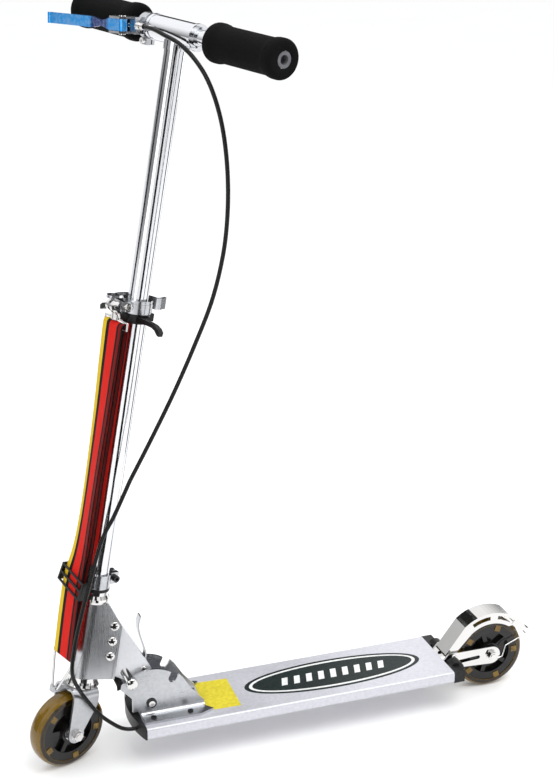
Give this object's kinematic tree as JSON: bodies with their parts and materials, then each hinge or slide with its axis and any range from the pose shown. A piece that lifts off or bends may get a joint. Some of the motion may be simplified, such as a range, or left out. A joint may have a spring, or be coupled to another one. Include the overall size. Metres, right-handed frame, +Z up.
{
  "type": "folding kick scooter",
  "caption": "Folding two-wheel kick scooter with a height-adjustable T-bar, hand brake lever, rear fender brake, fold lock and carry strap.",
  "frame": {"origin": "on the ground, under the middle of the scooter between the wheel axles", "axes": "+X forward along the deck, +Y to the rider's left, +Z up; the front wheel and bars are turned 21 degrees to the left at rest"},
  "size_m": [0.6886, 0.3594, 0.9321],
  "materials": {
    "deck_metal": "satin anodised",
    "column_metal": "satin anodised",
    "fork_steel": "silver paint",
    "plate_steel": "satin",
    "cast_grey": "bead blasted",
    "bright_steel": "polished",
    "dark_steel": "blackened",
    "black_plastic": "fine grain",
    "foam": "closed-cell foam",
    "rubber": "matte",
    "amber_tyre": "clear amber polyurethane",
    "wheel_core": "moulded",
    "webbing": "woven",
    "lever_blue": "anodised blue",
    "cable_black": "smooth"
  },
  "bodies": {
    "deck_body": {"deck": "deck_metal", "deck_front_cap": "black_plastic", "deck_rear_caps": "black_plastic", "fold_plate_left": "plate_steel", "fold_plate_right": "plate_steel", "plate_screws": "dark_steel", "fold_pivot": "bright_steel", "pivot_ring": "dark_steel", "fold_bumper": "rubber", "rear_fork_left": "plate_steel", "rear_fork_right": "plate_steel", "rear_axle": "bright_steel", "rear_axle_nut": "bright_steel", "fender_pin": "bright_steel", "fender_spring": "bright_steel", "cable_lower": "cable_black"},
    "lock_body": {"lock_bolt": "bright_steel"},
    "fender_body": {"fender_brake": "cast_grey"},
    "neck_body": {"neck_extrusion": "deck_metal", "neck_bracket": "cast_grey", "neck_screws": "bright_steel", "headset_cups": "bright_steel", "headset_bearings": "bright_steel", "release_pin": "bright_steel"},
    "release_body": {"release_lever": "cast_grey"},
    "column_body": {"fork": "fork_steel", "outer_tube": "column_metal", "headset_ring": "black_plastic", "headset_clamp": "cast_grey", "headset_clamp_bolt": "dark_steel", "height_clamp": "cast_grey", "clamp_bolt": "bright_steel", "holder_clip": "black_plastic", "front_axle": "bright_steel", "front_axle_nut": "bright_steel", "carry_strap": "webbing", "strap_slider": "black_plastic", "snap_hook": "bright_steel", "strap_ring": "bright_steel", "cable_middle": "cable_black"},
    "clamp_lever_body": {"clamp_lever": "cast_grey"},
    "handlebar_body": {"inner_tube": "column_metal", "tee_head": "column_metal", "bar_left": "column_metal", "bar_right": "column_metal", "grip_left": "foam", "grip_right": "foam", "bar_plugs": "black_plastic", "brake_clamp": "cast_grey", "barrel_adjuster": "bright_steel", "lever_pin": "bright_steel", "cable_upper": "cable_black"},
    "brake_lever_body": {"brake_lever": "lever_blue"},
    "front_wheel_body": {"front_tyre": "amber_tyre", "front_core": "wheel_core", "front_bearings": "bright_steel"},
    "rear_wheel_body": {"rear_tyre": "amber_tyre", "rear_core": "wheel_core", "rear_bearings": "bright_steel"}
  },
  "joints": [
    {"name": "fold", "type": "hinge", "parent": "deck_body", "child": "neck_body", "pos_m": [0.185, 0, 0.0725], "axis": [0, -1, 0], "range_deg": [0, 80.5], "deforming": ["cable_lower"]},
    {"name": "steer", "type": "hinge", "parent": "neck_body", "child": "column_body", "pos_m": [0.27922, 0, 0.04763], "axis": [-0.1822, 0, 0.9833], "range_deg": [-66, 24], "deforming": ["cable_middle"]},
    {"name": "bar_height", "type": "slide", "parent": "column_body", "child": "handlebar_body", "axis": [-0.1822, 0, 0.9833], "range_m": [-0.28, 0], "deforming": ["cable_upper"]},
    {"name": "front_wheel_spin", "type": "hinge", "parent": "column_body", "child": "front_wheel_body", "pos_m": [0.29115, 0.00466, 0.04984], "axis": [-0.3524, 0.9336, -0.0653], "continuous": true},
    {"name": "rear_wheel_spin", "type": "hinge", "parent": "deck_body", "child": "rear_wheel_body", "pos_m": [-0.292, 0, 0.05], "axis": [0, 1, 0], "continuous": true},
    {"name": "brake_lever_pull", "type": "hinge", "parent": "handlebar_body", "child": "brake_lever_body", "pos_m": [0.17238, -0.04683, 0.90347], "axis": [0.0574, 0.0359, -0.9977], "range_deg": [0, 7.5], "stiffness_Nm_per_rad": 2, "springref_deg": -11.46},
    {"name": "fender_press", "type": "hinge", "parent": "deck_body", "child": "fender_body", "pos_m": [-0.236, 0, 0.0565], "axis": [0, -1, 0], "range_deg": [0, 8], "stiffness_Nm_per_rad": 4, "springref_deg": -6.88, "deforming": ["fender_spring"]},
    {"name": "clamp_lever_swing", "type": "hinge", "parent": "column_body", "child": "clamp_lever_body", "pos_m": [0.20577, -0.01097, 0.59339], "axis": [-0.1822, 0, 0.9833], "range_deg": [0, 90]},
    {"name": "release_lever_pull", "type": "hinge", "parent": "neck_body", "child": "release_body", "pos_m": [0.192, 0, 0.119], "axis": [0, -1, 0], "range_deg": [0, 30], "stiffness_Nm_per_rad": 0.3, "springref_deg": -22.92},
    {"name": "lock_lift", "type": "slide", "parent": "deck_body", "child": "lock_body", "axis": [0.45, 0, 0.893], "range_m": [0, 0.0139]}
  ],
  "couplings": [
    {"joint": "fender_press", "follows": "brake_lever_pull", "ratio": 1.05},
    {"joint": "release_lever_pull", "follows": "lock_lift", "rad_per_m": 37.65}
  ]
}
